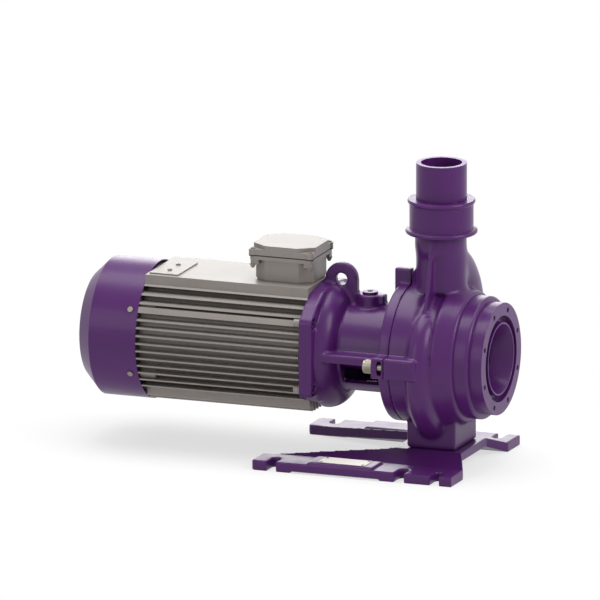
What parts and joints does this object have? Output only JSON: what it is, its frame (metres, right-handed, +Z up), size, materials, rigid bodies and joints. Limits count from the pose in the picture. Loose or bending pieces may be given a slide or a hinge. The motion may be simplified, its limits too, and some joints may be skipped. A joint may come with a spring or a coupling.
{
  "type": "pump",
  "caption": "Close-coupled end-suction water pump with spiral casing, upright discharge, open bearing bracket, finned motor and a bridge-shaped base frame.",
  "frame": {"origin": "centre of the footprint box, on the floor that the feet stand on", "axes": "+X along the shaft from the motor towards the suction flange, +Y to the far side, which carries the drain plug and the cable gland, +Z up along the discharge pipe"},
  "size_m": [0.965, 0.438, 0.6913],
  "materials": {
    "purple_enamel": "glossy enamel on cast iron",
    "enamelled_screw": "glossy enamel painted over steel",
    "grey_paint": "satin warm grey paint on cast aluminium",
    "grey_iron": "machined grey iron",
    "zinc_steel": "zinc plated",
    "machined_steel": "ground",
    "bearing_steel": "polished",
    "brass_cage": "pressed brass",
    "brass_stud": "turned brass",
    "bronze": "cast bronze",
    "copper_washer": "soft copper",
    "copper_winding": "varnished copper wire",
    "core_sheet": "stacked electrical sheet",
    "cast_aluminium": "die cast",
    "ceramic": "lapped ceramic",
    "carbon": "lapped carbon",
    "black_rubber": "moulded",
    "terminal_plastic": "moulded",
    "gland_plastic": "moulded",
    "fan_plastic": "moulded",
    "cream_plate": "cream enamel on sheet steel, blank"
  },
  "bodies": {
    "pump_body": {"volute_casing": "purple_enamel", "suction_cover": "purple_enamel", "suction_inlet_ring": "purple_enamel", "wear_ring": "bronze", "discharge_collar": "purple_enamel", "discharge_pipe": "purple_enamel", "discharge_seal_ring": "black_rubber", "bearing_bracket": "purple_enamel", "casing_clamp_bolts": "zinc_steel", "motor_flange_screws": "enamelled_screw", "pedestal_bolts": "zinc_steel", "oil_plug": "enamelled_screw", "oil_plug_washer": "copper_washer", "drain_plug": "enamelled_screw", "seal_cover": "grey_iron", "casing_o_ring": "black_rubber", "seal_stationary_seat": "ceramic", "lip_seal": "black_rubber", "front_bearing_outer_ring": "bearing_steel", "rear_bearing_outer_ring": "bearing_steel", "stator_core": "core_sheet", "stator_windings": "copper_winding", "motor_housing": "grey_paint", "rear_end_shield": "grey_iron", "end_shield_screws": "zinc_steel", "bearing_spring_washer": "bearing_steel", "fan_cowl": "purple_enamel", "cowl_screws": "zinc_steel", "terminal_box": "grey_paint", "terminal_box_gasket": "black_rubber", "terminal_box_lid": "grey_paint", "lid_screws": "zinc_steel", "terminal_block": "terminal_plastic", "terminal_studs": "brass_stud", "cable_gland": "brass_stud", "blanking_plug": "gland_plastic", "top_cover_plate": "grey_paint", "top_cover_screws": "zinc_steel", "base_frame": "purple_enamel", "foot_plate": "cream_plate", "foot_plate_rivets": "zinc_steel"},
    "rotor": {"shaft": "machined_steel", "impeller": "bronze", "shaft_keys": "machined_steel", "impeller_washer": "machined_steel", "impeller_bolt": "zinc_steel", "bearing_circlip": "bearing_steel", "fan_circlip": "bearing_steel", "seal_rotating_ring": "carbon", "seal_spring": "bearing_steel", "seal_drive_collar": "machined_steel", "front_bearing_inner_ring": "bearing_steel", "rear_bearing_inner_ring": "bearing_steel", "rotor_core": "core_sheet", "rotor_cage_rings": "cast_aluminium", "cooling_fan": "fan_plastic"},
    "front_cage": {"front_bearing_balls": "bearing_steel", "front_bearing_cage": "brass_cage"},
    "rear_cage": {"rear_bearing_balls": "bearing_steel", "rear_bearing_cage": "brass_cage"}
  },
  "joints": [
    {"name": "rotor_spin", "type": "hinge", "parent": "pump_body", "child": "rotor", "pos_m": [0, 0, 0.25], "axis": [1, 0, 0], "continuous": true},
    {"name": "front_cage_spin", "type": "hinge", "parent": "pump_body", "child": "front_cage", "pos_m": [0.095, 0, 0.25], "axis": [1, 0, 0], "continuous": true},
    {"name": "rear_cage_spin", "type": "hinge", "parent": "pump_body", "child": "rear_cage", "pos_m": [-0.3525, 0, 0.25], "axis": [1, 0, 0], "continuous": true}
  ],
  "couplings": [
    {"joint": "front_cage_spin", "follows": "rotor_spin", "ratio": 0.38},
    {"joint": "rear_cage_spin", "follows": "rotor_spin", "ratio": 0.4}
  ]
}
